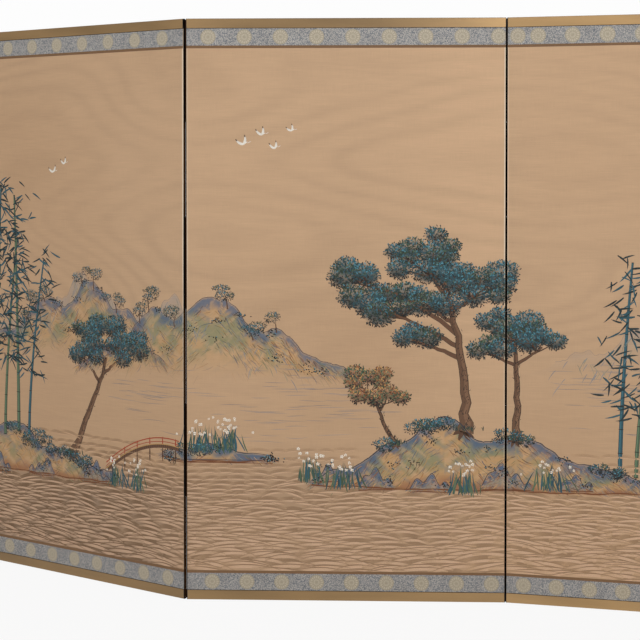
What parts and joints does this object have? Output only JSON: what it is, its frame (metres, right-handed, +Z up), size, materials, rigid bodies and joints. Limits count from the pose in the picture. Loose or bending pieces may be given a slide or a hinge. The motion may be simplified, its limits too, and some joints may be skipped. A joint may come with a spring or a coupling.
{
  "type": "folding screen",
  "caption": "Free-standing folding screen of wide paper-hinged panels, with a painted silk face, brocade borders and gold-lacquered rails.",
  "frame": {"origin": "centre of the footprint's bounding box, on the floor", "axes": "+X along the screen from its left end to its right as seen from the painted side, +Y from the painted side to the back, +Z up"},
  "size_m": [3.6756, 0.3612, 1.72],
  "materials": {
    "gold_lacquer": "gold lacquer, satin",
    "brocade": "blue-grey woven brocade with small pale medallions",
    "brown_silk": "plain brown silk",
    "painted_silk": "tan silk, painted landscape",
    "cover_paper": "printed paper, matt",
    "lining_paper": "plain, matt",
    "softwood": "planed cedar, bare",
    "hinge_paper": "dark brown, matt",
    "nail_iron": "forged"
  },
  "bodies": {
    "panel_1": {"panel_1_core_stiles": "softwood", "panel_1_core_rails": "softwood", "panel_1_lattice_uprights": "softwood", "panel_1_lattice_crossbars": "softwood", "panel_1_front_lining": "lining_paper", "panel_1_back_lining": "lining_paper", "panel_1_painted_silk": "painted_silk", "panel_1_back_cover": "cover_paper", "panel_1_brocade_strips": "brocade", "panel_1_fillet_strips": "brown_silk", "panel_1_frame_rail_top": "gold_lacquer", "panel_1_frame_rail_bottom": "gold_lacquer", "panel_1_frame_nails": "nail_iron", "panel_1_frame_stile_left": "gold_lacquer", "fold_1_strips_left": "hinge_paper"},
    "panel_2": {"panel_2_core_stiles": "softwood", "panel_2_core_rails": "softwood", "panel_2_lattice_uprights": "softwood", "panel_2_lattice_crossbars": "softwood", "panel_2_front_lining": "lining_paper", "panel_2_back_lining": "lining_paper", "panel_2_painted_silk": "painted_silk", "panel_2_back_cover": "cover_paper", "panel_2_brocade_strips": "brocade", "panel_2_fillet_strips": "brown_silk", "panel_2_frame_rail_top": "gold_lacquer", "panel_2_frame_rail_bottom": "gold_lacquer", "panel_2_frame_nails": "nail_iron", "fold_1_strips_right": "hinge_paper", "fold_2_strips_left": "hinge_paper"},
    "panel_3": {"panel_3_core_stiles": "softwood", "panel_3_core_rails": "softwood", "panel_3_lattice_uprights": "softwood", "panel_3_lattice_crossbars": "softwood", "panel_3_front_lining": "lining_paper", "panel_3_back_lining": "lining_paper", "panel_3_painted_silk": "painted_silk", "panel_3_back_cover": "cover_paper", "panel_3_brocade_strips": "brocade", "panel_3_fillet_strips": "brown_silk", "panel_3_frame_rail_top": "gold_lacquer", "panel_3_frame_rail_bottom": "gold_lacquer", "panel_3_frame_nails": "nail_iron", "fold_2_strips_right": "hinge_paper", "fold_3_strips_left": "hinge_paper"},
    "panel_4": {"panel_4_core_stiles": "softwood", "panel_4_core_rails": "softwood", "panel_4_lattice_uprights": "softwood", "panel_4_lattice_crossbars": "softwood", "panel_4_front_lining": "lining_paper", "panel_4_back_lining": "lining_paper", "panel_4_painted_silk": "painted_silk", "panel_4_back_cover": "cover_paper", "panel_4_brocade_strips": "brocade", "panel_4_fillet_strips": "brown_silk", "panel_4_frame_rail_top": "gold_lacquer", "panel_4_frame_rail_bottom": "gold_lacquer", "panel_4_frame_nails": "nail_iron", "panel_4_frame_stile_right": "gold_lacquer", "fold_3_strips_right": "hinge_paper"}
  },
  "joints": [
    {"name": "fold_2", "type": "hinge", "parent": "panel_3", "child": "panel_2", "pos_m": [-0.02478, -0.16999, 0.86], "axis": [0, 0, -1], "range_deg": [-34.9, 145.1]},
    {"name": "fold_1", "type": "hinge", "parent": "panel_2", "child": "panel_1", "pos_m": [-0.90455, 0.16969, 0.86], "axis": [0, 0, 1], "range_deg": [-30, 150]},
    {"name": "fold_3", "type": "hinge", "parent": "panel_3", "child": "panel_4", "pos_m": [0.89632, 0.03238, 0.86], "axis": [0, 0, -1], "range_deg": [-12.9, 167.1]}
  ]
}
